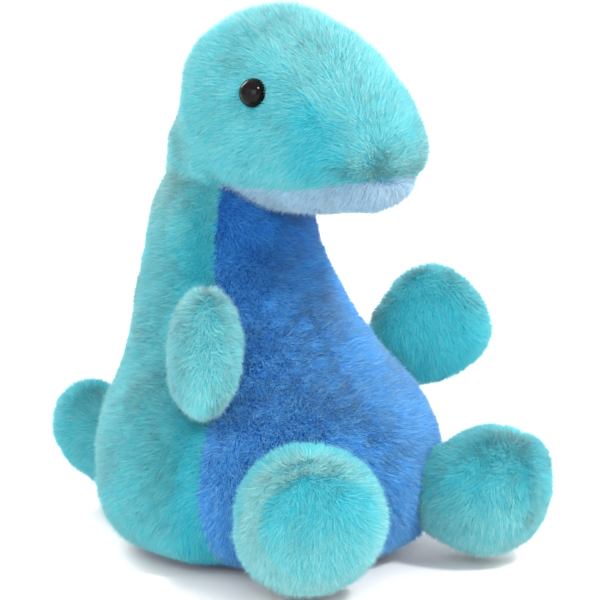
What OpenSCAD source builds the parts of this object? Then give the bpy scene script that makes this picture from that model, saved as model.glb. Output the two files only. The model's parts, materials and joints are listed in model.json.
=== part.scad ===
// Seated stuffed dinosaur: plush panels sewn round fibre stuffing, a bean pouch in the seat,
// six soft seams that bend (neck, shoulders, hips, tail) and washer-locked eyes.
// Millimetres, +Z up. The face looks along -Y and the toy's left side is at +X.
// The origin is the centre of the face that the seat rests on. Outer sizes include the pile.

/* [Body] */
// Widest radius of the bean-weighted seat
body_r = 41.2; // [38:0.2:44]
// Height of the widest ring of the seat
belly_z = 21; // [18:1:24]
// Radius of the face that the seat rests on
rest_r = 27; // [22:1:30]
// Height of the centre of the ball at the top of the neck
neck_z = 91; // [88:1:94]
// How far the neck stands behind the seat's centre
neck_back = 13; // [10:1:14]
// Radius of the ball at the top of the neck
neck_r = 16.5; // [15:0.5:17]

/* [Head] */
// Length of the head from the nape to the snout
head_len = 64.5; // [61:0.5:66]
// Greatest half-width of the head
head_half_w = 22; // [21:0.5:23]
// Greatest half-height of the head
head_half_h = 24; // [22:0.5:25]
// Radius of the eye's dome
eye_r = 3.4; // [3:0.1:4.2]

/* [Limbs] */
// Length of an arm past its seam
arm_len = 28; // [25:1:31]
// Greatest half-width of an arm
arm_half_w = 16; // [14:0.5:17]
// Greatest half-thickness of an arm
arm_half_t = 9; // [7:0.5:9.5]
// Radius of a foot
foot_r = 16.8; // [16:0.2:18]
// Distance from the seat's centre to the sole
sole_reach = 68; // [64:1:70]
// Distance from the seat's centre to the tip of the tail
tail_reach = 75; // [71:1:78]
// Radius of the tail near its tip
tail_r = 10.5; // [9:0.5:12]

/* [Cloth] */
// Thickness of the plush, backing and pile together
plush_t = 3; // [2:0.5:3.5]
// Gap left between two neighbouring pieces
gap = 0.3; // [0.2:0.1:0.5]
// Gap left between two panels along their seam
seam_gap = 0.2; // [0.1:0.1:0.3]
// Thickness of the bean pouch's cloth
pouch_t = 0.8; // [0.6:0.1:1]

/* [Hidden] */

teal = [0.33, 0.76, 0.82];
blue = [0.21, 0.48, 0.75];
white = [0.95, 0.95, 0.93];
big = 200; // side of the blocks that trim a solid

// Facets round a ring: outer faces, then inner faces and stuffing
body_n = 30;
head_n = 28;
leg_n = 22;
limb_n = 18;
inner_n = 20;
limb_inner_n = 14;

// Body rings from the seat up: height, distance behind the seat's centre, radius
body_rings = [
    [0, 0, rest_r],
    [2, 0, rest_r + 5.5],
    [6, 0, body_r - 3.6],
    [12, 0, body_r - 1],
    [belly_z, 0, body_r],
    [belly_z + 13, 0.07 * neck_back, body_r - 3],
    [belly_z + 25, 0.38 * neck_back, body_r - 10.3],
    [belly_z + 37, 0.72 * neck_back, body_r - 15.6],
    [belly_z + 49, 0.94 * neck_back, body_r - 19.8],
    [neck_z - 11, neck_back, neck_r + 2.8],
    [neck_z - 5, neck_back, neck_r + 0.6],
    [neck_z, neck_back, neck_r - 0.4]
];
// Angle from straight ahead round to the seam beside the belly, by height
belly_seam = [[0, 67], [30, 68], [60, 62], [100, 57]];
base_z = 3.4; // height of the seam round the base panel
pouch_z = 30; // height of the bean pouch
pouch_seam_z = 17; // height of the seam round the pouch

// Head rings from the nape to the snout: place along Y, centre height, half-height share, half-width share
head_mid_y = -12.8;
head_rings = [
    [20, 107, 0.86, 1],
    [14, 106.3, 0.94, 1.02],
    [8, 105.2, 1.03, 1.02],
    [-2, 104.4, 1.03, 0.98],
    [-12, 103.9, 0.97, 0.93],
    [-25, 101.9, 0.89, 0.86],
    [-36, 98.2, 0.81, 0.85],
    [-49, 95.4, 0.66, 0.82]
];
// Half-width of the gusset that runs from the nape over the forehead to the snout
gusset_rows = [
    [22, 5], [12, 6.5], [0, 8.5], [-12, 11.2], [-24, 13.2], [-34, 13.2],
    [-39, 13.4], [-42, 16], [-46, 22], [-52, 26]
];
// Height of the mouth line along the head
mouth_rows = [[22, 87.5], [-5, 87.5], [-22, 88.2], [-38, 91], [-52, 91.5]];
neck_gap = 0.5; // gap between the neck's ball and the head
neck_relief_a = 28; // slope of the relief under the head, which lets it nod
neck_relief_h = 30; // height of the relief

eye_at = [17.2, -12.9, 109.6]; // centre of the left eye's back face
eye_out = [77, 19]; // left eye's heading from straight ahead, and its rise
dome_h = 3.1; // height of the eye's dome
shank_r = 1.3; // radius over the ribs of the eye's shank
shank_len = 9; // length of the shank behind the dome
rib_t = 0.5; // thickness of a rib
rib_pitch = 1.9; // distance from one rib to the next
washer_r = 4.2; // radius of the washer that locks an eye
washer_t = 1.2; // thickness of the washer
washer_drop = 2.4; // how far the washer's face lies under the plush

// Height of a shoulder seam, where it sits and where the arm points (angles from straight ahead), rise
arm_left_pose = [39.5, 82, 58, 40];
arm_right_pose = [47, 64, 41, 25];
arm_stand_off = 2; // how far the arm's root stands from the body's plush
arm_lean = 2; // tilt of the shoulder seam
arm_root = 0.7; // width of the arm at its seam, as a share of the greatest

// The way a leg points, and what its reach and its radius add to sole_reach and foot_r
leg_left_pose = [29, 0.5, -0.7];
leg_right_pose = [34, 0, 1];
leg_root_at = body_r + 0.4; // distance from the seat's centre to a leg's root
leg_root_r = 11; // radius of a leg at its root
leg_lift = 2.5; // how far the sole's centre stands above the middle of the leg
sole_t = 7; // depth of the sole pad

tail_root_at = body_r + 0.2; // distance from the seat's centre to the tail's root
tail_root_r = 9.5; // radius of the tail at its root
tail_z = 14; // height of the tail's root
tail_lift = 10; // how far the tail rises to its tip

// ---------- functions ----------
function row_at(rows, x, i = 0) =
    i >= len(rows) - 2 || (rows[0][0] < rows[1][0] ? x < rows[i + 1][0] : x > rows[i + 1][0])
        ? i : row_at(rows, x, i + 1);
function slope(rows, i, c) =
    let (a = max(i - 1, 0), b = min(i + 1, len(rows) - 1))
    (rows[b][c] - rows[a][c]) / (rows[b][0] - rows[a][0]);
// Column c of the rows at x, on a smooth curve through them
function at(rows, x, c) =
    let (
        i = row_at(rows, x),
        h = rows[i + 1][0] - rows[i][0],
        t = min(max((x - rows[i][0]) / h, 0), 1),
        s0 = slope(rows, i, c) * h,
        s1 = slope(rows, i + 1, c) * h
    )
    (2 * t ^ 3 - 3 * t ^ 2 + 1) * rows[i][c] + (t ^ 3 - 2 * t ^ 2 + t) * s0
    + (3 * t ^ 2 - 2 * t ^ 3) * rows[i + 1][c] + (t ^ 3 - t ^ 2) * s1;

// ---------- shared shapes ----------
// One closed solid through a stack of equal rings, each turning right-handed about the way they go
module rings_solid(rings) {
    n = len(rings[0]);
    last = len(rings) - 1;
    sides = [
        for (i = [0 : last - 1], j = [0 : n - 1], half = [0, 1])
            let (a = i * n + j, b = i * n + (j + 1) % n)
            half == 0 ? [a, b + n, b] : [a, a + n, b + n]
    ];
    floor_ring = [for (j = [0 : n - 1]) j];
    top_ring = [for (j = [n - 1 : -1 : 0]) last * n + j];
    polyhedron([for (r = rings) each r], concat(sides, [floor_ring, top_ring]));
}

// Keeps a trimmed shell together as one mesh: a resize to zero leaves every size as it is
module one_mesh() {
    resize([0, 0, 0]) children();
}

// Pouch along +X from x = 0 to len_x, fullest past its middle, shrunk by inset all round
module pouch(len_x, half_w, half_t, root, inset = 0, n = limb_n, steps = 12) {
    mid = len_x / 2;
    k = 1 - inset / mid;
    rings_solid([
        for (s = [0 : steps])
            let (
                a = 6 + (180 - 12) * s / steps,
                x = -cos(a),
                fill = sin(a) ^ 0.75,
                grow = root + (1 - root) * (1 - (1 - (x + 1) / 2) ^ 2)
            )
            [
                for (j = [0 : n - 1])
                    let (v = 360 * (j + 0.5) / n)
                    [
                        mid + k * mid * x,
                        (half_w - inset) * fill * grow * cos(v),
                        (half_t - inset) * fill * (0.35 + 0.65 * grow) * sin(v)
                    ]
            ]
    ]);
}

module mirrored(side) {
    if (side > 0) children();
    else mirror([1, 0, 0]) children();
}

// ---------- body ----------
// Seat, belly and neck as one solid, shrunk by inset
module body_form(inset = 0, n = body_n) {
    steps = 18;
    rings_solid([
        for (i = [0 : steps])
            let (
                z = inset + (neck_z - inset) * (i / steps) ^ 1.25,
                r = at(body_rings, z, 2) - inset,
                y = at(body_rings, z, 1)
            )
            [for (j = [0 : n - 1]) [r * cos(360 * j / n), y + r * sin(360 * j / n), z]]
    ]);
    translate([0, neck_back, neck_z]) sphere(neck_r - inset, $fn = n);
}

module body_shell() {
    difference() {
        body_form();
        body_form(plush_t, inner_n);
    }
}

// Everything in front of the seam beside the belly, grown by out
module belly_zone(out = 0) {
    seam = [
        for (z = [-4 : 4 : neck_z + 1])
            let (zz = max(z, 0))
            [at(body_rings, zz, 1) - at(body_rings, zz, 2) * cos(at(belly_seam, zz, 1)) + out, z]
    ];
    rotate([90, 0, 90])
        linear_extrude(big, center = true)
            polygon(concat(seam, [[-big, neck_z + 1], [-big, -4]]));
}

module low_zone(z, out = 0) {
    translate([-big / 2, -big / 2, -big + z + out]) cube(big);
}

// Half of space on the given side of the middle plane
module side_zone(side, out = 0) {
    translate([side > 0 ? out : -big - out, -big / 2, -big / 2]) cube([big, big, big * 2]);
}

module back_panel(side) {
    color(teal) one_mesh() intersection() {
        difference() {
            body_shell();
            belly_zone(seam_gap);
            low_zone(base_z, seam_gap);
        }
        side_zone(side, seam_gap / 2);
    }
}

module belly_panel() {
    color(blue) one_mesh() intersection() {
        difference() {
            body_shell();
            low_zone(base_z, seam_gap);
        }
        belly_zone();
    }
}

module base_panel() {
    color(blue) one_mesh() intersection() {
        body_shell();
        low_zone(base_z);
    }
}

module body_stuffing() {
    color(white) one_mesh() difference() {
        body_form(plush_t + gap, inner_n);
        low_zone(pouch_z, plush_t + 3 * gap);
    }
}

// The pouch of plastic beans fills the seat, shrunk by inset
module pouch_form(inset) {
    intersection() {
        body_form(plush_t + gap + inset, inner_n);
        low_zone(pouch_z, plush_t - inset);
    }
}

// Half of the pouch: high is 1 for the upper piece of cloth and -1 for the lower one
module bean_pouch(high) {
    color(white) one_mesh() intersection() {
        difference() {
            pouch_form(0);
            pouch_form(pouch_t);
        }
        translate([-big / 2, -big / 2, pouch_seam_z + (high > 0 ? seam_gap / 2 : -big - seam_gap / 2)])
            cube(big);
    }
}

module bean_fill() {
    color([0.9, 0.9, 0.92]) one_mesh() pouch_form(pouch_t + gap);
}

// Ladder stitches that close the stuffing hole low in the centre back seam
module closing_stitches() {
    first_z = 14;
    pitch = 3.4;
    stitch_w = 2.6;
    thread_r = 0.3;
    for (i = [0 : 7]) {
        z = first_z + pitch * i;
        y = at(body_rings, z, 1) + at(body_rings, z, 2) - plush_t / 2;
        color(teal)
            translate([0, y, z])
                rotate([0, 90, 0])
                    cylinder(stitch_w, r = thread_r, center = true, $fn = 24);
    }
}

// ---------- head ----------
module head_form(inset = 0, n = head_n) {
    half_l = head_len / 2;
    steps = 18;
    k = 1 - inset / half_l;
    rings_solid([
        for (i = [0 : steps])
            let (
                a = 8 + (180 - 16) * i / steps,
                y = head_mid_y + half_l * cos(a),
                full = sin(a) ^ 0.7,
                zc = at(head_rings, y, 1),
                hh = (head_half_h - inset) * at(head_rings, y, 2) * full,
                hw = (head_half_w - inset) * at(head_rings, y, 3) * full
            )
            [
                for (j = [0 : n - 1])
                    let (v = 360 * j / n)
                    [hw * cos(v), head_mid_y + k * (y - head_mid_y), zc + hh * sin(v)]
            ]
    ]);
}

// Room for the neck and its ball under the head, so that the head can nod
module neck_room() {
    r = neck_r + neck_gap;
    translate([0, neck_back, neck_z]) sphere(r, $fn = 32);
    translate([0, neck_back, neck_z - neck_relief_h])
        cylinder(neck_relief_h, r1 = r + neck_relief_h * tan(neck_relief_a), r2 = r, $fn = 32);
}

// The head's plush, open where it is sewn to the neck
module head_shell() {
    difference() {
        head_form();
        head_form(plush_t, inner_n);
        neck_room();
        eye_holes();
    }
}

// Moves a child from the left eye's own frame, with +Z out of the face
module at_eye(side) {
    mirrored(side)
        translate(eye_at)
            rotate([0, 0, eye_out[0] - 90])
                rotate([0, 90 - eye_out[1], 0])
                    children();
}

module eye_holes() {
    for (side = [1, -1])
        at_eye(side) {
            translate([0, 0, -shank_len]) cylinder(shank_len + 1, r = shank_r + gap, $fn = 16);
            cylinder(2 * dome_h, r = eye_r + gap, $fn = 20);
        }
}

module gusset_zone(out = 0) {
    half = [for (y = [22 : -2 : -50]) [at(gusset_rows, y, 1) + out, y]];
    other = [for (i = [len(half) - 1 : -1 : 0]) [-half[i][0], half[i][1]]];
    linear_extrude(big) polygon(concat(half, other));
}

// Everything under the mouth line, grown by out
module chin_zone(out = 0) {
    line = [for (y = [-50 : 4 : 22]) [y, at(mouth_rows, y, 1) + out]];
    rotate([90, 0, 90])
        linear_extrude(big, center = true)
            polygon(concat(line, [[22, 0], [-50, 0]]));
}

module head_gusset() {
    color(teal) one_mesh() intersection() {
        difference() {
            head_shell();
            chin_zone(seam_gap);
        }
        gusset_zone();
    }
}

module head_side(side) {
    color(teal) one_mesh() intersection() {
        difference() {
            head_shell();
            chin_zone(seam_gap);
            gusset_zone(seam_gap);
        }
        side_zone(side);
    }
}

module chin_panel() {
    color(blue) one_mesh() intersection() {
        head_shell();
        chin_zone();
    }
}

module head_stuffing() {
    color(white) one_mesh() difference() {
        head_form(plush_t + gap, inner_n);
        neck_room();
        for (side = [1, -1])
            at_eye(side)
                translate([0, 0, -shank_len - 1])
                    cylinder(shank_len + 2 * dome_h, r = washer_r + gap, $fn = 20);
    }
}

// Domed eye on a ribbed shank
module eye(side) {
    ball_r = (eye_r ^ 2 + dome_h ^ 2) / (2 * dome_h);
    color([0.05, 0.04, 0.05]) at_eye(side) {
        intersection() {
            translate([0, 0, dome_h - ball_r]) sphere(ball_r, $fn = 64);
            cylinder(dome_h + 1, r = eye_r, $fn = 64);
        }
        translate([0, 0, -shank_len]) cylinder(shank_len + 0.5, r = shank_r - 0.2, $fn = 32);
        for (i = [1 : 4])
            translate([0, 0, -rib_pitch * i - rib_t]) cylinder(rib_t, r = shank_r, $fn = 32);
    }
}

// Washer that locks an eye's shank inside the cloth
module eye_washer(side) {
    collar_h = 1;
    collar_r = shank_r + 0.9;
    bore_r = shank_r + 0.05;
    color(white) at_eye(side)
        translate([0, 0, -plush_t - washer_drop])
            difference() {
                union() {
                    cylinder(washer_t, r = washer_r, $fn = 48);
                    translate([0, 0, -collar_h]) cylinder(collar_h + 0.5, r = collar_r, $fn = 48);
                }
                translate([0, 0, -2 * collar_h]) cylinder(6, r = bore_r, $fn = 48);
            }
}

// ---------- arms ----------
// Moves a child from an arm's own frame: +X out of the shoulder seam, +Y up along it
module at_arm(side) {
    pose = side > 0 ? arm_left_pose : arm_right_pose;
    y = at(body_rings, pose[0], 1);
    r = at(body_rings, pose[0], 2) + arm_stand_off;
    mirrored(side)
        translate([r * sin(pose[1]), y - r * cos(pose[1]), pose[0]])
            rotate([0, 0, pose[2] - 90])
                rotate([0, -pose[3], 0])
                    rotate([90 + arm_lean, 0, 0])
                        children();
}

module arm_form(inset = 0, n = limb_n) {
    pouch(arm_len, arm_half_w, arm_half_t, arm_root, inset, n);
}

// front is 1 for the panel that faces forward and -1 for the one behind it
module arm_panel(side, front) {
    color(teal) one_mesh() at_arm(side) intersection() {
        difference() {
            arm_form();
            arm_form(plush_t, limb_inner_n);
        }
        translate([-5, -big / 2, front > 0 ? seam_gap / 2 : -big - seam_gap / 2]) cube(big);
    }
}

module arm_stuffing(side) {
    color(white) one_mesh() at_arm(side) arm_form(plush_t + gap, limb_inner_n);
}

// ---------- legs ----------
function leg_pose(side) = side > 0 ? leg_left_pose : leg_right_pose;

// Leg along +X from its root on the body out to the sole, shrunk by inset
module leg_form(side, inset = 0, n = leg_n) {
    pose = leg_pose(side);
    full = sole_reach + pose[1] - leg_root_at;
    top_r = foot_r + pose[2];
    steps = 15;
    swell = [[0, leg_root_r - 2.5], [1.5, leg_root_r], [6, top_r - 1.7], [13, top_r], [40, top_r]];
    mirrored(side)
        rotate([0, 0, pose[0] - 90])
            translate([leg_root_at, 0, 0])
                rings_solid([
                    for (i = [0 : steps])
                        let (
                            t = i / steps,
                            x = inset + (full - 2 * inset) * sin(90 * t),
                            end = 1 - 0.72 * (max(t - 0.2, 0) / 0.8) ^ 2,
                            r = at(swell, x, 1) * end - inset,
                            mid = top_r + leg_lift * (x / full) ^ 2
                        )
                        [
                            for (j = [0 : n - 1])
                                let (v = 360 * (j + 0.5) / n)
                                [x, r * cos(v), max(mid + r * sin(v), inset)]
                        ]
                ]);
}

// Space beyond the seam round the sole pad
module sole_zone(side, out = 0) {
    pose = leg_pose(side);
    mirrored(side)
        rotate([0, 0, pose[0] - 90])
            translate([sole_reach + pose[1] - sole_t - out, -big / 2, -big / 2]) cube(big);
}

// high is 1 for the panel over a leg and -1 for the one under it
module leg_panel(side, high) {
    seam_z = foot_r + leg_pose(side)[2];
    color(teal) one_mesh() intersection() {
        difference() {
            leg_form(side);
            leg_form(side, plush_t, limb_inner_n);
            sole_zone(side, seam_gap);
        }
        translate([-big / 2, -big / 2, seam_z + (high > 0 ? seam_gap / 2 : -big - seam_gap / 2)]) cube(big);
    }
}

module leg_sole(side) {
    color(teal) one_mesh() intersection() {
        difference() {
            leg_form(side);
            leg_form(side, plush_t, limb_inner_n);
        }
        sole_zone(side);
    }
}

module leg_stuffing(side) {
    color(white) one_mesh() leg_form(side, plush_t + gap, limb_inner_n);
}

// ---------- tail ----------
module tail_form(inset = 0, n = limb_n) {
    from = tail_root_at;
    full = tail_reach - from;
    steps = 13;
    swell = [[0, tail_root_r - 2.5], [2, tail_root_r], [9, tail_r + 0.8], [18, tail_r + 0.6], [40, tail_r]];
    rings_solid([
        for (i = [0 : steps])
            let (
                t = i / steps,
                y = inset + (full - 2 * inset) * sin(90 * t),
                end = 1 - 0.55 * (max(t - 0.4, 0) / 0.6) ^ 3,
                r = at(swell, y, 1) * end - inset,
                mid = tail_z + tail_lift * (y / full) ^ 2,
                lean = 0.35 * y / full
            )
            [
                for (j = [0 : n - 1])
                    let (v = 360 * (j + 0.5) / n)
                    [r * sin(v), from + y - lean * r * cos(v), max(mid + r * cos(v), inset)]
            ]
    ]);
}

module tail_panel(side) {
    color(teal) one_mesh() intersection() {
        difference() {
            tail_form();
            tail_form(plush_t, limb_inner_n);
        }
        side_zone(side, seam_gap / 2);
    }
}

module tail_stuffing() {
    color(white) one_mesh() tail_form(plush_t + gap, limb_inner_n);
}

back_panel(1);  // back_panel_left
back_panel(-1);  // back_panel_right
belly_panel();
base_panel();
body_stuffing();
bean_pouch(1);  // bean_pouch_top
bean_pouch(-1);  // bean_pouch_bottom
bean_fill();
closing_stitches();
head_side(1);  // head_side_left
head_side(-1);  // head_side_right
head_gusset();
chin_panel();
head_stuffing();
eye(1);  // eye_left
eye(-1);  // eye_right
eye_washer(1);  // eye_washer_left
eye_washer(-1);  // eye_washer_right
arm_panel(1, 1);  // arm_left_front
arm_panel(1, -1);  // arm_left_back
arm_stuffing(1);  // arm_left_stuffing
arm_panel(-1, 1);  // arm_right_front
arm_panel(-1, -1);  // arm_right_back
arm_stuffing(-1);  // arm_right_stuffing
leg_panel(1, 1);  // leg_left_upper
leg_panel(1, -1);  // leg_left_lower
leg_sole(1);  // leg_left_sole
leg_stuffing(1);  // leg_left_stuffing
leg_panel(-1, 1);  // leg_right_upper
leg_panel(-1, -1);  // leg_right_lower
leg_sole(-1);  // leg_right_sole
leg_stuffing(-1);  // leg_right_stuffing
tail_panel(1);  // tail_left
tail_panel(-1);  // tail_right
tail_stuffing();
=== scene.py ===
import json
import math

import bpy
import numpy as np
from mathutils import Matrix, Vector

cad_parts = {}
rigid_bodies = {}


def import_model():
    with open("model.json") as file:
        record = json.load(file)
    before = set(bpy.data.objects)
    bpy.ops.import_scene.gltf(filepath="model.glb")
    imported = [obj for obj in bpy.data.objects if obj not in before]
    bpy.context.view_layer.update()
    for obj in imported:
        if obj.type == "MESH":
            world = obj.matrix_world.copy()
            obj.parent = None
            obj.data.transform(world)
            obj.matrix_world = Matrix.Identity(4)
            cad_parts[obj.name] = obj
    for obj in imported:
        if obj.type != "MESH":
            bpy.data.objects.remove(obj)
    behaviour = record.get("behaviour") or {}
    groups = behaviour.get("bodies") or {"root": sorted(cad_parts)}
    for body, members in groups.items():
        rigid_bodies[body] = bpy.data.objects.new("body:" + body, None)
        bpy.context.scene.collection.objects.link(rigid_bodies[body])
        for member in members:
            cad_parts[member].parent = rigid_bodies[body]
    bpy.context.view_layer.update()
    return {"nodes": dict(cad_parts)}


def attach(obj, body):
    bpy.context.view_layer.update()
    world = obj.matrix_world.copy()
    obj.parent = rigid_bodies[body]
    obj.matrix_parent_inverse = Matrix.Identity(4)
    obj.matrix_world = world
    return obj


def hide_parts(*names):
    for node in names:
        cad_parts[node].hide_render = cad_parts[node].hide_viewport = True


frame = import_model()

MM = 0.001
FLOOR_GAP = 0.6  # millimetres that the skins keep off the floor
rng = np.random.default_rng(41)  # seeded, so that each run is the same


# ---------- curves and small helpers ----------
def smooth_rows(rows, x, c=1):
    """Column c of the rows at x, on a smooth curve through them."""
    rows = np.array(rows, float)
    if rows[0, 0] > rows[-1, 0]:
        rows = rows[::-1]
    xs, ys = rows[:, 0], rows[:, c]
    x = np.asarray(x, float)
    i = np.clip(np.searchsorted(xs, x, side="right") - 1, 0, len(xs) - 2)
    lo, hi = np.maximum(np.arange(len(xs)) - 1, 0), np.minimum(np.arange(len(xs)) + 1, len(xs) - 1)
    slope = (ys[hi] - ys[lo]) / (xs[hi] - xs[lo])
    h = xs[i + 1] - xs[i]
    t = np.clip((x - xs[i]) / h, 0, 1)
    return (
        (2 * t**3 - 3 * t**2 + 1) * ys[i]
        + (t**3 - 2 * t**2 + t) * slope[i] * h
        + (3 * t**2 - 2 * t**3) * ys[i + 1]
        + (t**3 - t**2) * slope[i + 1] * h
    )


def unit(v):
    return v / np.maximum(np.linalg.norm(v, axis=-1, keepdims=True), 1e-9)


def smoothstep(a, b, x):
    t = np.clip((x - a) / (b - a), 0, 1)
    return t * t * (3 - 2 * t)


# A few dozen sine waves of random heading make a smooth field that repeats nowhere near the toy
WAVES = {}


def wavy(p, size, seed):
    """Smooth values of about unit spread at points p, varying over size millimetres."""
    key = (round(size * 100), seed)
    if key not in WAVES:
        r = np.random.default_rng(1000 + 7 * key[0] + seed)
        k = unit(r.normal(size=(14, 3))) * (2 * np.pi / size) * r.uniform(0.6, 1.3, (14, 1))
        WAVES[key] = (k, r.uniform(0, 2 * np.pi, 14))
    k, ph = WAVES[key]
    return np.sin(p @ k.T + ph).sum(1) / math.sqrt(7)


# ---------- the toy's shape, in millimetres ----------
BODY_ROWS = [
    [0, 0, 27], [2, 0, 32.5], [6, 0, 37.6], [12, 0, 40.2], [21, 0, 41.2], [34, 0.91, 38.2],
    [46, 4.94, 30.9], [58, 9.36, 25.6], [70, 12.22, 21.4], [80, 13, 19.3], [86, 13, 17.1], [91, 13, 16.1],
]
NECK_Z = 91.0
NECK = np.array([0.0, 13.0, NECK_Z])
NECK_R = 16.5
HOOD_R, HOOD_SOFT = 15.9, 6.0  # the head's skin goes on as a ball round the neck's own
BELLY_SEAM = [[0, 67], [30, 68], [60, 62], [100, 57]]
HEAD_MID, HEAD_LEN, HEAD_W, HEAD_H = -12.8, 64.5, 22.0, 24.0
HEAD_ROWS = [
    [20, 107, 0.86, 1], [14, 106.3, 0.94, 1.02], [8, 105.2, 1.03, 1.02], [-2, 104.4, 1.03, 0.98],
    [-12, 103.9, 0.97, 0.93], [-25, 101.9, 0.89, 0.86], [-36, 98.2, 0.81, 0.85], [-49, 95.4, 0.66, 0.82],
]
GUSSET = [
    [22, 5], [12, 6.5], [0, 8.5], [-12, 11.2], [-24, 13.2], [-34, 13.2],
    [-39, 13.4], [-42, 16], [-46, 22], [-52, 26],
]
MOUTH = [[22, 87.5], [-5, 87.5], [-22, 88.2], [-38, 91], [-52, 91.5]]
EYE_AT = np.array([17.2, -12.9, 109.6])
EYE_R = 3.4
ARM_LEN, ARM_W, ARM_T, ARM_ROOT, ARM_OFF, ARM_LEAN = 28.0, 16.0, 9.0, 0.7, 2.0, 2.0
ARM_POSE = {1: (39.5, 82, 58, 40), -1: (47, 64, 41, 25)}
LEG_FROM, LEG_ROOT_R, LEG_LIFT, SOLE_SEAM = 41.6, 11.0, 2.5, 5.6
SOLE_DEPTH = {1: 0.5, -1: 1.1}  # how far the seam draws the pile in
LEG_POSE = {1: (29, 68.5, 16.1), -1: (34, 68.0, 17.8)}  # heading, reach of the sole, radius
SOLE_CROWN = 0.9  # how far the middle of a sole stands out
LEG_TAPER = 0.72  # share of its radius that a leg loses towards the sole
TAIL_FROM, TAIL_REACH, TAIL_ROOT_R, TAIL_R, TAIL_Z, TAIL_LIFT = 41.4, 75.0, 9.5, 10.5, 14.0, 10.0


def turn(axis, degrees):
    """Rotation matrix about an axis of the frame."""
    return np.array(Matrix.Rotation(math.radians(degrees), 3, axis))


def ring_v(n):
    """The angles of n points round a ring."""
    return np.arange(n) * 2 * np.pi / n


def body_grid():
    """The torso up to the neck, and the ball on top of the neck."""
    z = NECK_Z * np.linspace(0.0, 1, 74) ** 1.15
    r = smooth_rows(BODY_ROWS, z, 2)
    yc = smooth_rows(BODY_ROWS, z, 1)
    phi = np.radians(np.linspace(4, 89.4, 27))
    z = np.r_[z, NECK[2] + NECK_R * np.sin(phi)]
    r = np.r_[r, NECK_R * np.cos(phi)]
    yc = np.r_[yc, np.full(len(phi), NECK[1])]
    v = ring_v(128)
    return np.stack([r[:, None] * np.cos(v), yc[:, None] + r[:, None] * np.sin(v), z[:, None] + 0 * v], -1)


def head_grid():
    """The head in rings along Y, with the hood that covers the neck's ball."""
    a = np.radians(np.r_[0.4, 1.2, 2.4, np.linspace(4, 176, 84), 177.6, 178.8, 179.6])
    v = ring_v(112)
    y = HEAD_MID + HEAD_LEN / 2 * np.cos(a)
    full = np.sin(a) ** 0.7
    zc = smooth_rows(HEAD_ROWS, y, 1)
    hh = HEAD_H * smooth_rows(HEAD_ROWS, y, 2) * full
    hw = HEAD_W * smooth_rows(HEAD_ROWS, y, 3) * full
    g = np.stack([hw[:, None] * np.cos(v), y[:, None] + 0 * v, zc[:, None] + hh[:, None] * np.sin(v)], -1)
    out = g - NECK
    short = np.linalg.norm(out, axis=-1) - HOOD_R
    grown = 0.5 * (np.sqrt(short**2 + HOOD_SOFT**2) - short) * smoothstep(-2, 8, g[..., 1])
    return g + unit(out) * grown[..., None]


def arm_frame(side):
    z, place, heading, rise = ARM_POSE[side]
    y = float(smooth_rows(BODY_ROWS, z, 1))
    r = float(smooth_rows(BODY_ROWS, z, 2)) + ARM_OFF
    p = math.radians(place)
    m = turn("Z", heading - 90) @ turn("Y", -rise) @ turn("X", 90 + ARM_LEAN)
    return m, np.array([r * math.sin(p), y - r * math.cos(p), z])


INTO_ARM, INTO_LEG, INTO_TAIL = 4.1, 5.5, 4.0


def arm_grid(side):
    """An arm in rings from its root outwards. The right arm mirrors a left one in its own pose."""
    a = np.radians(np.r_[np.linspace(5, 176, 52), 177.6, 178.8, 179.6])
    v = ring_v(72)
    x = -np.cos(a)
    fill = np.sin(a) ** 0.75
    grow = ARM_ROOT + (1 - ARM_ROOT) * (1 - (1 - (x + 1) / 2) ** 2)
    mid = ARM_LEN / 2
    w = ARM_W * fill * grow
    t = ARM_T * fill * (0.35 + 0.65 * grow)
    along = np.where(x < 0, mid + (mid + INTO_ARM) * x, mid + mid * x)  # the root runs into the body's pile
    g = np.stack([along[:, None] + 0 * v, w[:, None] * np.cos(v), t[:, None] * np.sin(v)], -1)
    m, at = arm_frame(side)
    g = g @ m.T + at
    if side < 0:
        g = (g * [-1, 1, 1])[:, ::-1]
    return g


def share_along(x, into, full):
    """The place along a limb as the solid part has it: the skin starts further in."""
    return np.clip((x - into) / (full - into), 0, 1)


def leg_grid(side):
    """A leg lying on the floor, with its round sole facing out."""
    heading, reach, foot_r = LEG_POSE[side]
    start = LEG_FROM - INTO_LEG
    full = reach - start
    x = full * np.sin(np.pi / 2 * np.linspace(0.0, 1, 50))
    out = share_along(x, INTO_LEG, full)
    t = np.arcsin(out) * 2 / np.pi
    swell = [
        [0, LEG_ROOT_R - 4], [3, LEG_ROOT_R - 1], [5.5, LEG_ROOT_R + 0.5],
        [11.5, foot_r - 1.4], [18.5, foot_r], [46, foot_r],
    ]
    r = smooth_rows(swell, x) * (1 - LEG_TAPER * (np.maximum(t - 0.2, 0) / 0.8) ** 2)
    mid = foot_r + LEG_LIFT * out**2
    face = np.linspace(1, 0.03, 14)[1:]  # rings that close the sole
    xs = np.r_[x, full + SOLE_CROWN * (1 - face**2)]
    rs = np.r_[r, r[-1] * face]
    ms = np.r_[mid, np.full(len(face), mid[-1])]
    v = ring_v(88)
    g = np.stack([xs[:, None] + 0 * v, rs[:, None] * np.cos(v), ms[:, None] + rs[:, None] * np.sin(v)], -1)
    g[..., 2] = soft_floor(g[..., 2])
    g[..., 0] -= SOLE_CROWN
    g = (g + [start, 0, 0]) @ turn("Z", heading - 90).T
    if side < 0:
        g = (g * [-1, 1, 1])[:, ::-1]
    return g


def leg_out(side):
    h = math.radians(LEG_POSE[side][0])
    return np.array([side * math.sin(h), -math.cos(h), 0])


def end_share(y, full, more):
    """How much of the rounding of a limb's end each ring takes: nothing near the root."""
    return np.r_[smoothstep(0.4, 1, y / full), np.ones(more)]


def soft_floor(z):
    """Heights pressed up so that none lies under the gap to the floor."""
    return np.maximum(z, FLOOR_GAP)


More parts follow.
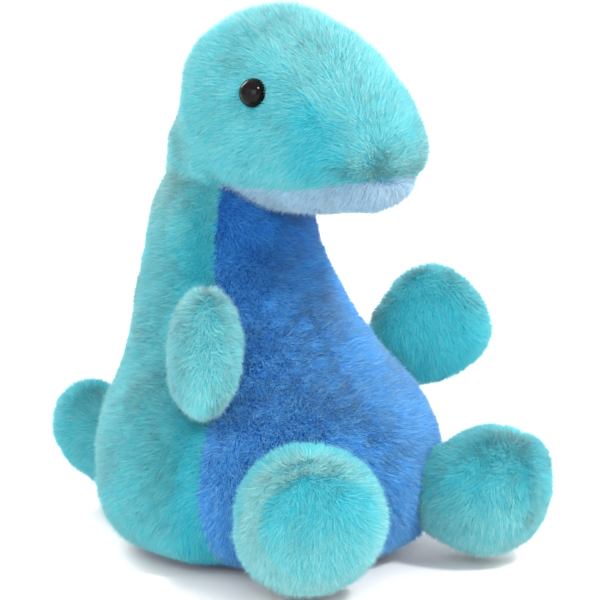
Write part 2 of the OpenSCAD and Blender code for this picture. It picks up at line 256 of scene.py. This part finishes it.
def tail_grid():
    """The tail, lying on the floor and rising a little to its tip."""
    start = TAIL_FROM - INTO_TAIL
    full = TAIL_REACH - start
    y = full * np.sin(np.pi / 2 * np.linspace(0.0, 1, 46))
    out = share_along(y, INTO_TAIL, full)
    swell = [[0, TAIL_ROOT_R - 0.5], [5, TAIL_ROOT_R], [13, TAIL_R + 0.8], [22, TAIL_R + 0.6], [46, TAIL_R]]
    r = smooth_rows(swell, y) * np.sqrt(1 - 0.86 * (np.maximum(y - full + 10, 0) / 10) ** 2)
    mid = TAIL_Z + TAIL_LIFT * out**2
    lean = 0.35 * out
    face = np.linspace(1, 0.03, 12)[1:]
    ys = np.r_[y, full + 3 * (1 - face**2)] - 1.5 * end_share(y, full, len(face))
    rs = np.r_[r, r[-1] * face]
    ms, ls = (np.r_[x, np.full(len(face), x[-1])] for x in (mid, lean))
    v = ring_v(72)
    g = np.stack(
        [
            rs[:, None] * np.sin(v),
            (start + ys)[:, None] - ls[:, None] * rs[:, None] * np.cos(v),
            soft_floor(ms[:, None] + rs[:, None] * np.cos(v)),
        ],
        -1,
    )
    return g[:, ::-1]


# ---------- surfaces ----------
def grid_normals(g):
    """Outward normals of a grid of rings, smoothed twice."""
    du = np.gradient(g, axis=0)
    dv = np.roll(g, -1, axis=1) - np.roll(g, 1, axis=1)
    n = unit(np.cross(dv, du))
    centre = g.mean(axis=(0, 1))
    if np.sum((g - centre) * n) < 0:
        n = -n
    for _ in range(2):
        beside = np.roll(n, 1, 1) + np.roll(n, -1, 1)
        before_after = np.r_[n[:1], n[:-1]] + np.r_[n[1:], n[-1:]]
        n = unit(n + 0.5 * beside + 0.5 * before_after)
    return n


def pull_in(g, n, amount):
    """The grid moved inwards along its normals."""
    return g - n * amount[..., None]


def near(x, width):
    """1 at x = 0, falling smoothly to nothing a few widths away."""
    return np.exp(-((x / width) ** 2))


def grid_object(name, g, n):
    """A closed quad mesh over a grid of rings, with its faces outward."""
    nu, nv = g.shape[:2]
    i, j = np.meshgrid(np.arange(nu - 1), np.arange(nv), indexing="ij")
    j2 = (j + 1) % nv
    quads = np.stack([i * nv + j, i * nv + j2, (i + 1) * nv + j2, (i + 1) * nv + j], -1).reshape(-1, 4)
    faces = [tuple(q) for q in quads]
    faces.append(tuple(range(nv))[::-1])
    faces.append(tuple(range((nu - 1) * nv, nu * nv)))
    me = bpy.data.meshes.new(name)
    me.from_pydata((g.reshape(-1, 3) * MM).tolist(), [], faces)
    me.update()
    if np.dot(np.array(me.polygons[(nu // 2) * nv].normal), n[nu // 2, 0]) < 0:
        me.flip_normals()
    me.polygons.foreach_set("use_smooth", [True] * len(me.polygons))
    o = bpy.data.objects.new(name, me)
    bpy.context.scene.collection.objects.link(o)
    return o


class Part:
    """One stuffed part: its envelope, the skin under its pile, and what the pile does on it."""

    def __init__(self, name, body, grid, inset, lumps=0.35, seam=None):
        self.name, self.body = name, body
        n = grid_normals(grid)
        flat = grid.reshape(-1, 3)
        depth = np.full(len(flat), float(inset))
        depth = depth - lumps * wavy(flat, 17, 3) - 0.35 * lumps * wavy(flat, 8, 5)
        if seam is not None:
            depth = depth + seam(flat)
        self.g = pull_in(grid, n, depth.reshape(grid.shape[:2]))
        self.n = grid_normals(self.g)

    def roots(self, density):
        """Random roots on the skin, evenly spread, with normals: about density of them per square millimetre."""
        g, n = self.g, self.n
        a, b = g[:-1], g[1:]
        a2, b2 = np.roll(a, -1, 1), np.roll(b, -1, 1)
        area = 0.5 * (
            np.linalg.norm(np.cross(a2 - a, b - a), axis=-1) + np.linalg.norm(np.cross(a2 - b2, b - b2), axis=-1)
        )
        count = int(area.sum() * density)
        cum = np.cumsum(area.ravel())
        pick = np.searchsorted(cum, (np.arange(count) + rng.random(count)) / count * cum[-1])
        pick = np.minimum(pick, len(cum) - 1)
        i, j = np.unravel_index(pick, area.shape)
        s, t = rng.random((2, count, 1))
        nv = g.shape[1]

        def mix(x):
            j2 = (j + 1) % nv
            return (x[i, j] * (1 - s) + x[i + 1, j] * s) * (1 - t) + (x[i, j2] * (1 - s) + x[i + 1, j2] * s) * t

        return mix(g), unit(mix(n))


# ---------- materials ----------
def plain(name, colour, rough=0.75, sheen=0.0, coat=0.0, specular=0.3, sheen_tint=(1, 1, 1)):
    m = bpy.data.materials.new(name)
    m.use_nodes = True
    b = m.node_tree.nodes["Principled BSDF"]
    b.inputs["Base Color"].default_value = (*colour, 1)
    b.inputs["Roughness"].default_value = rough
    b.inputs["Sheen Weight"].default_value = sheen
    b.inputs["Sheen Tint"].default_value = (*sheen_tint, 1)
    b.inputs["Coat Weight"].default_value = coat
    b.inputs["Specular IOR Level"].default_value = specular
    return m


def linear(c):
    c = np.array(c, float) / 255
    return np.where(c <= 0.04045, c / 12.92, ((c + 0.055) / 1.055) ** 2.4)


# ---------- pile ----------
# Fibre shades, from the deep ones of the short pile to the bright ones of the long pile. The spread from deep to
# pale is partly painted: deep saturated shades stand for shade deep in the pile, pale ones for sheen on the fibre
# tips.
SHADES = {
    "teal": [(38, 178, 202), (58, 188, 207), (82, 192, 205), (108, 199, 205), (136, 208, 211), (168, 219, 220)],
    "blue": [(22, 88, 172), (30, 108, 198), (42, 128, 214), (62, 148, 223), (92, 167, 229), (132, 193, 236)],
    "chin": [(108, 154, 190), (126, 170, 202), (144, 184, 210), (162, 198, 220), (184, 210, 228), (206, 222, 236)],
}
SHADE_COUNT = 6
PALETTE = {
    (kind, k): plain(f"pile_{kind}_{k}", linear(c), rough=0.7, specular=0.12, sheen=0.3, sheen_tint=(0.8, 1, 1))
    for kind, cs in SHADES.items()
    for k, c in enumerate(cs)
}
MAX_FIBRES = 60000  # in one piece
DENSITY = 22.0  # fibres to a square millimetre
LONG_SHARE = 0.34
# The pairs below are for the long and the short layer
LENGTH = (2.9, 2.2)  # millimetres
WIDTH = (0.105, 0.185)
LEAN = (33, 27)  # degrees from upright
LEAN_SPREAD = (14, 14)
MAX_LEAN = 84
ROOT_DEPTH = 0.2  # millimetres under the skin
SHADE_SPREAD = 0.5
# The long layer takes the pale shades, a painted sheen on the fibre tips; the short layer takes the deep ones,
# painted shade deep in the pile.
SHADE = (3.6, 2.0)  # mean place in SHADES


def comb_field(normals, flow):
    """Combing direction in the surface, from a wanted direction in space."""
    return unit(flow - (flow * normals).sum(1, keepdims=True) * normals)


def turned(d, n, angle):
    """Directions d turned in the surface by angle, in radians."""
    return d * np.cos(angle)[:, None] + np.cross(n, d) * np.sin(angle)[:, None]


def grow_pile(part, kind_of, flow_of, scale_of=None, keep=None, painted_light=None, lie=0.0):
    """Fibres over a part. The functions take roots and normals, in millimetres."""
    p, n = part.roots(DENSITY)
    if keep is not None:
        ok = keep(p, n)
        p, n = p[ok], n[ok]
    count = len(p)
    layer = (rng.random(count) > LONG_SHARE).astype(int)
    d = comb_field(n, flow_of(p, n))
    angle = 0.22 * wavy(p, 15, 21) + 0.2 * wavy(p, 5, 22) + rng.normal(0, 0.35, count)
    d = turned(d, n, angle)
    length = np.array(LENGTH)[layer] * (1 + 0.05 * wavy(p, 4, 23) + rng.normal(0, 0.12, count))
    if scale_of is not None:
        length = length * scale_of(p, n)
    lean = np.array(LEAN)[layer] + lie + 4 * wavy(p, 5, 24) + rng.normal(0, 1, count) * np.array(LEAN_SPREAD)[layer]
    lean = np.radians(np.clip(lean, 0, MAX_LEAN))
    along = n * np.cos(lean)[:, None] + d * np.sin(lean)[:, None]
    root = p - n * ROOT_DEPTH
    tip = p + along * length[:, None]
    tip[:, 2] = np.maximum(tip[:, 2], 0.15)
    along = unit(tip - root)
    side = unit(np.cross(along, d + 0.01 * n))
    over = np.cross(along, side)
    w = (np.array(WIDTH)[layer] * rng.uniform(0.75, 1.25, count) * 0.58)[:, None]
    phase = rng.uniform(0, 2 * np.pi, count)
    v = [
        root + w * (side * np.cos(phase + k)[:, None] + over * np.sin(phase + k)[:, None])
        for k in (0, 2 * np.pi / 3, 4 * np.pi / 3)
    ]
    v = np.stack([*v, tip], 1)
    n_fibre = unit(n - along * (n * along).sum(1, keepdims=True))
    soft = unit(0.75 * n + 0.45 * n_fibre + rng.normal(0, 0.1, (count, 3)))
    shade = np.array(SHADE)[layer] + rng.normal(0, SHADE_SPREAD, count)
    # Painted light and shade: each part's function shifts its fibres to paler or deeper shades.
    if painted_light is not None:
        shade = shade + painted_light(p, n)
    shade = np.clip(np.round(shade), 0, SHADE_COUNT - 1).astype(int)
    kinds = kind_of(p, n)
    for kind in sorted(set(kinds)):
        ids = np.flatnonzero(kinds == kind)
        ids = ids[np.argsort(p[ids, 2], kind="stable")]
        for k, band in enumerate(np.array_split(ids, math.ceil(len(ids) / MAX_FIBRES))):
            o = fibre_mesh(f"{part.name}_pile_{kind}_{k}", kind, v[band], soft[band], shade[band])
            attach(o, part.body)
    print(part.name, count, "fibres")


def fibre_mesh(name, kind, v, normals, shade):
    """Thin three-sided spikes, each with one shade and one shading normal."""
    count = len(v)
    me = bpy.data.meshes.new(name)
    me.vertices.add(count * 4)
    me.vertices.foreach_set("co", (v * MM).astype(np.float32).ravel())
    b = np.arange(count)[:, None] * 4
    loops = np.concatenate([b + [0, 1, 3], b + [1, 2, 3], b + [2, 0, 3]], axis=1)
    me.loops.add(count * 9)
    me.loops.foreach_set("vertex_index", loops.astype(np.int32).ravel())
    me.polygons.add(count * 3)
    me.polygons.foreach_set("loop_start", np.arange(0, count * 9, 3, dtype=np.int32))
    for k in range(SHADE_COUNT):
        me.materials.append(PALETTE[kind, k])
    me.polygons.foreach_set("material_index", np.repeat(shade, 3).astype(np.int32))
    me.polygons.foreach_set("use_smooth", np.ones(count * 3, bool))
    me.update(calc_edges=True)
    me.validate()
    me.normals_split_custom_set_from_vertices(np.repeat(normals, 4, axis=0).astype(np.float32))
    o = bpy.data.objects.new(name, me)
    bpy.context.scene.collection.objects.link(o)
    return o


# ---------- which cloth, where ----------
def kind_array(mask_names, count, default="teal"):
    k = np.full(count, default, dtype="<U5")
    for mask, name in mask_names:
        k[mask] = name
    return k


def belly_side(p):
    """How far in front of the belly's seam a point is, in millimetres."""
    z = np.clip(p[:, 2], 0, NECK_Z)
    a = np.radians(smooth_rows(BELLY_SEAM, z))
    return smooth_rows(BODY_ROWS, z, 1) - smooth_rows(BODY_ROWS, z, 2) * np.cos(a) - p[:, 1]


def body_kind(p, n):
    return kind_array([((belly_side(p) + rng.normal(0, 0.35, len(p)) > 0) | (p[:, 2] < 3.4), "blue")], len(p))


def head_kind(p, n):
    chin = (smooth_rows(MOUTH, p[:, 1]) - p[:, 2] + rng.normal(0, 0.3, len(p)) > 0) & (p[:, 1] < 4)
    return kind_array([(chin, "chin")], len(p))


def inside_body(p, shrink):
    z = np.clip(p[:, 2], 0, NECK_Z)
    from_axis = np.hypot(p[:, 0], p[:, 1] - smooth_rows(BODY_ROWS, z, 1))
    return (p[:, 2] < NECK_Z) & (from_axis < smooth_rows(BODY_ROWS, z, 2) - shrink)


def head_section(y):
    """The head's centre height, half height and half width where it crosses y."""
    a = np.arccos(np.clip((y - HEAD_MID) / (HEAD_LEN / 2), -1, 1))
    full = np.sin(a) ** 0.7
    half_height = HEAD_H * smooth_rows(HEAD_ROWS, y, 2) * full
    half_width = HEAD_W * smooth_rows(HEAD_ROWS, y, 3) * full
    return smooth_rows(HEAD_ROWS, y, 1), half_height, half_width


def from_eyes(p):
    """For each eye, the offset of the points from its centre."""
    return [p - EYE_AT * [s, 1, 1] for s in (1, -1)]


def inside_head(p, shrink=0.0):
    zc, hh, hw = head_section(p[:, 1])
    hh, hw = np.maximum(hh - shrink, 0.1), np.maximum(hw - shrink, 0.1)
    span = np.abs(p[:, 1] - HEAD_MID) < HEAD_LEN / 2 - shrink
    return span & ((p[:, 0] / hw) ** 2 + ((p[:, 2] - zc) / hh) ** 2 < 1)


# ---------- seams: how far the skin is drawn in ----------
def body_seams(p):
    sides = near(belly_side(p), 2.0) * 0.75
    back = near(p[:, 0], 1.6) * (p[:, 1] > 5) * 0.5
    # the neck's ball stays well inside the head's skin, which covers it
    return sides + back + 1.2 * smoothstep(85, 89, p[:, 2]) + 2.0 * smoothstep(89.5, 92.5, p[:, 2])


def gusset_gap(p):
    return np.abs(p[:, 0]) - smooth_rows(GUSSET, np.clip(p[:, 1], -52, 22))


def head_seams(p):
    z = p[:, 2]
    mouth = near(z - smooth_rows(MOUTH, p[:, 1]), 1.8) * (0.5 + 0.6 * smoothstep(-40, -28, p[:, 1])) * (p[:, 1] < 4)
    top = near(gusset_gap(p), 2.2) * (0.4 + 0.9 * smoothstep(-12, -26, p[:, 1]) * smoothstep(93, 99, z)) * (z > 91)
    eyes = np.zeros(len(p))
    for d in from_eyes(p):
        eyes += near(np.linalg.norm(d, axis=1), 7.0) * 0.9
    return mouth + top + eyes


def sole_seam(side):
    out = leg_out(side)
    _, reach, foot_r = LEG_POSE[side]

    def seam(p):
        r = p - out * (p @ out)[:, None]
        from_axis = unit(r - [0, 0, foot_r])
        # deepest over the foot and on its outer side
        deep = SOLE_DEPTH[side] * (0.15 + 0.85 * smoothstep(0.0, 0.9, from_axis @ np.array([side, 0, 0.1])))
        return deep * near(p @ out - (reach - SOLE_SEAM), 2.0)

    return seam


# ---------- build the parts ----------
PILE = 2.1
parts = {}
parts["torso"] = Part("torso", "torso", body_grid(), PILE, lumps=0.2, seam=body_seams)
parts["head"] = Part("head", "head", head_grid(), PILE, lumps=0.25, seam=head_seams)
for side, word in ((1, "left"), (-1, "right")):
    parts["arm_" + word] = Part("arm_" + word, "arm_" + word, arm_grid(side), 1.9, lumps=0.2)
    parts["leg_" + word] = Part("leg_" + word, "leg_" + word, leg_grid(side), PILE, lumps=0.25, seam=sole_seam(side))
parts["tail"] = Part("tail", "tail", tail_grid(), PILE, lumps=0.25)

# The skins show between the fibre roots, in the cloth's colours made a little deeper as painted shade at the roots.
skin_teal = plain("skin_teal", linear((44, 168, 192)), rough=0.9, specular=0.1)
skin_blue = plain("skin_blue", linear((30, 86, 160)), rough=0.9, specular=0.1)
fibre = plain("fibre", (0.86, 0.86, 0.83), rough=0.95, specular=0.1)
skin_chin = plain("skin_chin", linear((104, 140, 186)), rough=0.9, specular=0.1)


def skin_object(part, kind_of):
    o = grid_object(part.name + "_skin", part.g, part.n)
    me = o.data
    for m in (skin_teal, skin_blue, skin_chin):
        me.materials.append(m)
    mid = np.array([f.center for f in me.polygons]) / MM
    nrm = np.array([f.normal for f in me.polygons])
    k = kind_of(mid, nrm)
    lut = {"teal": 0, "blue": 1, "chin": 2}
    me.polygons.foreach_set("material_index", np.array([lut[x] for x in k], np.int32))
    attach(o, part.body)
    return o


def filling(part, cad_node, over=None):
    """The fibre under a skin, a little further in, so that it never shows. It stands for the CAD filling."""
    g = pull_in(part.g, part.n, np.full(part.g.shape[:2], 0.5))
    n = part.n
    if over is not None:
        rows = g[:, :, 2].min(axis=1) > over
        g, n = g[rows], n[rows]
    o = grid_object(part.name + "_filling", g, n)
    o.data.materials.append(fibre)
    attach(o, part.body)
    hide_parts(cad_node)
    return o


def all_teal(p, n):
    return kind_array([], len(p))


def down(p, n):
    return np.tile([0.0, 0.0, -1.0], (len(p), 1))


# torso: combed down, the belly's tufts lying this way and that
def body_flow(p, n):
    f = down(p, n)
    f[:, 0] += 0.15 * np.sign(p[:, 0]) + 0.22 * wavy(p, 22, 31)
    away = near(belly_side(p), 3.0) * np.where(belly_side(p) > 0, 1, -1)
    around = np.stack([-n[:, 1], n[:, 0], 0 * n[:, 0]], 1) * np.sign(-p[:, 0])[:, None]
    return f + around * (0.3 * away)[:, None]


def body_len(p, n):
    seam = near(belly_side(p), 1.6)
    low = smoothstep(0, 8, p[:, 2])
    return (1 - 0.2 * seam) * (0.55 + 0.45 * low)


def body_keep(p, n):
    return (p[:, 2] > FLOOR_GAP) & (p[:, 2] < NECK_Z + 0.5) & ~inside_head(p, 6.0)


# Painted light and shade on the torso's pile: the belly deeper at the top under the chin (painted shadow), paler low
# down and round its middle, deeper towards +X; the teal sides deeper beside the belly seam and a little over the
# whole back (painted shade), paler at the neck under the head.
def body_painted_light(p, n):
    front = belly_side(p)
    low = smoothstep(45, 10, p[:, 2])
    mid = near(p[:, 2] - 42, 18)
    blue = 0.5 * low + 0.5 * mid - 1.0 * smoothstep(60, 78, p[:, 2]) - 0.3 * smoothstep(14, 30, p[:, 0])
    teal = -1.3 * near(front + 3, 4.5) - 0.3 + 1.2 * smoothstep(70, 84, p[:, 2])
    return np.where(front > 0, blue + 0.2, teal)


# head: the top's pile lies forward and down, the cheeks' back and down, away from the eyes
def head_flow(p, n):
    g = gusset_gap(p)
    top = smoothstep(1.5, -1.5, g)[:, None]
    over = np.stack([0.35 * np.tanh(p[:, 0] / 9), 1.0 + 0 * g, -0.2 + 0 * g], 1)
    cheek = np.stack([0 * g, 0.85 + 0 * g, -0.75 + 0 * g], 1)
    f = over * top + cheek * (1 - top)
    snout = smoothstep(-31, -41, p[:, 1])[:, None]
    nape = smoothstep(4, 14, p[:, 1])[:, None]
    f = f * (1 - nape) + np.array([0.0, 0.3, -1.0]) * nape
    f = f * (1 - snout) + np.stack([0.5 * np.tanh(p[:, 0] / 9), 0.1 + 0 * g, 1.0 + 0 * g], 1) * snout
    for d in from_eyes(p):
        r = np.linalg.norm(d, axis=1)
        f = f + unit(d) * (0.7 * near(r, 6.0))[:, None]
    under = (smoothstep(1.0, -2.0, p[:, 2] - smooth_rows(MOUTH, p[:, 1])) * (p[:, 1] < 4))[:, None]
    return f * (1 - under) + np.array([0.0, 0.9, -0.35]) * under


# Painted light and shade on the head's pile: paler on the top and the gusset's top (painted light from above),
# deeper in the crease beside the gusset on the face (painted crease shade), and paler under the snout and at the
# nape (painted light against the shade there).
def head_painted_light(p, n):
    y, z = p[:, 1], p[:, 2]
    front = smoothstep(-20, -28, y)
    crease = near(gusset_gap(p) - 1.2, 3.4) * front * smoothstep(112, 104, z)
    snout = smoothstep(-34, -41, y) * near(z - 95, 6)
    pale = 0.3 * smoothstep(106, 118, z) + 0.5 * (gusset_gap(p) < 0) * smoothstep(100, 106, z)
    nape = smoothstep(101, 93, z) * smoothstep(4, 12, y)
    return pale - 1.3 * crease + 1.0 * snout + 0.6 * nape - 0.1


def head_len(p, n):
    scale = np.ones(len(p))
    for d in from_eyes(p):
        r = np.linalg.norm(d, axis=1)
        scale *= 0.5 + 0.5 * smoothstep(3.0, 8, r)
    mouth = near(p[:, 2] - smooth_rows(MOUTH, p[:, 1]), 1.6)
    scale *= 1 - 0.3 * mouth
    return scale


def eye_clear(p):
    ok = np.ones(len(p), bool)
    for d in from_eyes(p):
        ok &= np.linalg.norm(d, axis=1) > EYE_R * 0.98
    return ok


def head_keep(p, n):
    return ~inside_body(p, 5.5) & eye_clear(p)


def arm_flow(side):
    m, _ = arm_frame(side)
    out = m @ np.array([1.0, 0, 0])
    if side < 0:
        out = out * [-1, 1, 1]

    def flow(p, n):
        return np.tile(out * 0.25, (len(p), 1)) + [0, 0, -1.0]

    return flow


def leg_flow(side):
    out = leg_out(side)
    _, reach, foot_r = LEG_POSE[side]
    centre = out * (reach - 4) + [0, 0, foot_r]

    def flow(p, n):
        onto = smoothstep(0.55, 0.9, n @ out)[:, None]
        spread = unit(p - centre)
        return (np.tile(out * -0.3 + [0, 0, -1.0], (len(p), 1))) * (1 - onto) + (spread * 0.12 + [0, 0, -1.0]) * onto

    return flow


def tail_flow(p, n):
    return np.tile([0.0, 0.5, -1.0], (len(p), 1))


def low_len(p, n):
    return 0.5 + 0.5 * smoothstep(0, 6, p[:, 2])


# Painted shade and sheen on an arm's pile: the whole arm deeper, the far (left) arm most, and paler towards its
# edges as a painted sheen.
def arm_painted_light(side):
    m, at = arm_frame(side)
    base = -0.4 if side < 0 else -1.4

    def painted_light(p, n):
        q = (p * [side, 1, 1] - at) @ m
        edge = smoothstep(0.55, 1.0, np.hypot((q[:, 0] - 12) / 14, q[:, 1] / ARM_W))
        return base + 0.9 * edge

    return painted_light


# Painted light and shade on a leg's pile: a pale ring behind the sole seam as a painted sheen, paler near the floor,
# deeper on top of the foot.
def leg_painted_light(side):
    out = leg_out(side)
    _, reach, foot_r = LEG_POSE[side]

    def painted_light(p, n):
        behind = reach - SOLE_SEAM - p @ out
        round_axis = unit(p - out * (p @ out)[:, None] - [0, 0, foot_r])
        rim = smoothstep(-0.5, 1, behind) * smoothstep(9, 3, behind)
        outer = smoothstep(-0.4, 0.8, round_axis @ np.array([0.85 * side, 0, 0.5]))
        rim = rim * (0.5 + 0.5 * outer) * SOLE_DEPTH[side]
        top = smoothstep(foot_r - 5, foot_r + 8, p[:, 2])
        low = smoothstep(12, 3, p[:, 2])
        return 0.4 + 0.9 * rim + 0.8 * low - 1.3 * top * np.clip(1 - rim, 0, 1)

    return painted_light


# Painted shade: the whole tail's pile a little deeper.
def tail_painted_light(p, n):
    return np.full(len(p), -0.6)


def above_floor(p, n):
    return p[:, 2] > FLOOR_GAP


skin_object(parts["torso"], body_kind)
skin_object(parts["head"], head_kind)
grow_pile(parts["torso"], body_kind, body_flow, body_len, body_keep, body_painted_light)
grow_pile(parts["head"], head_kind, head_flow, head_len, head_keep, head_painted_light)
for side, word in ((1, "left"), (-1, "right")):
    skin_object(parts["arm_" + word], all_teal)
    grow_pile(parts["arm_" + word], all_teal, arm_flow(side), painted_light=arm_painted_light(side), lie=14)
    skin_object(parts["leg_" + word], all_teal)
    grow_pile(parts["leg_" + word], all_teal, leg_flow(side), low_len, above_floor, leg_painted_light(side), lie=14)
skin_object(parts["tail"], all_teal)
grow_pile(parts["tail"], all_teal, tail_flow, low_len, painted_light=tail_painted_light)

# ---------- what each piece stands for ----------
filling(parts["torso"], "body_stuffing", over=31)
filling(parts["head"], "head_stuffing")
for word in ("left", "right"):
    filling(parts[f"arm_{word}"], f"arm_{word}_stuffing")
    filling(parts[f"leg_{word}"], f"leg_{word}_stuffing")
filling(parts["tail"], "tail_stuffing")
torso_nodes = ("back_panel_left", "back_panel_right", "belly_panel", "base_panel", "closing_stitches")
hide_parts(*torso_nodes)
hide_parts("head_side_left", "head_side_right", "head_gusset", "chin_panel")
for word in ("left", "right"):
    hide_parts(f"arm_{word}_front", f"arm_{word}_back")
    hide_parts(f"leg_{word}_upper", f"leg_{word}_lower", f"leg_{word}_sole")
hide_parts("tail_left", "tail_right")

# ---------- eyes ----------
eye_black = plain("eye_black_gloss", (0.004, 0.003, 0.003), rough=0.04, specular=0.12)
for word in ("left", "right"):
    eye = frame["nodes"]["eye_" + word]
    eye.data.materials.clear()
    eye.data.materials.append(eye_black)

# ---------- camera, floor and lights ----------
AZ, EL, DIST, LENS_PX = math.radians(-44), math.radians(9.75), 0.775, 3315.4
back = Vector((math.sin(AZ) * math.cos(EL), -math.cos(AZ) * math.cos(EL), math.sin(EL)))
right = Vector((math.cos(AZ), math.sin(AZ), 0))
up = back.cross(right)
aim = Vector((0, 0, 0.058)) + right * (30.5 * DIST / LENS_PX) - up * (-3 * DIST / LENS_PX)
cam = bpy.data.objects.new("camera", bpy.data.cameras.new("camera"))
bpy.context.scene.collection.objects.link(cam)
cam.location = aim + back * DIST
cam.rotation_mode = "QUATERNION"
cam.rotation_quaternion = (-back).to_track_quat("-Z", "Y")
cam.data.sensor_width = 36
cam.data.lens = 36 * LENS_PX / 600
cam.data.clip_start, cam.data.clip_end = 0.05, 200
cam.data.dof.use_dof = False
bpy.context.scene.camera = cam

floor_me = bpy.data.meshes.new("floor")
floor_me.from_pydata([(-60, -60, 0), (60, -60, 0), (60, 60, 0), (-60, 60, 0)], [], [(0, 1, 2, 3)])
floor = bpy.data.objects.new("floor", floor_me)
bpy.context.scene.collection.objects.link(floor)
floor_me.materials.append(plain("floor_pale", (0.96, 0.96, 0.96), rough=0.9, specular=0.1))
floor.location.z = -0.0002


def lamp(name, at, power, size, colour=(1, 1, 1)):
    data = bpy.data.lights.new(name, "AREA")
    data.energy, data.size, data.color = power, size, colour
    o = bpy.data.objects.new(name, data)
    bpy.context.scene.collection.objects.link(o)
    o.location = at
    o.rotation_mode = "QUATERNION"
    o.rotation_quaternion = (Vector(at) - Vector((0, 0, 0.06))).to_track_quat("Z", "Y")
    return o


lamp("key", tuple(back * 0.55 + right * 0.55 + Vector((0, 0, 0.75))), 8.0, 0.18)
lamp("front", tuple(back * 1.0 + Vector((0, 0, 0.2))), 5.0, 0.6)
lamp("fill", tuple(back * 0.8 - right * 0.7 + Vector((0, 0, 0.3))), 2.2, 0.8)
lamp("rim", tuple(-back * 0.7 - right * 0.5 + Vector((0, 0, 0.7))), 9.0, 0.5)
lamp("rim_right", tuple(-back * 0.6 + right * 0.8 + Vector((0, 0, 0.5))), 4.0, 0.6)
world = bpy.data.worlds.new("world")
bpy.context.scene.world = world
world.use_nodes = True
world.node_tree.nodes["Background"].inputs["Color"].default_value = (1, 1, 1, 1)
world.node_tree.nodes["Background"].inputs["Strength"].default_value = 1.0
bpy.context.scene.view_settings.view_transform = "Standard"
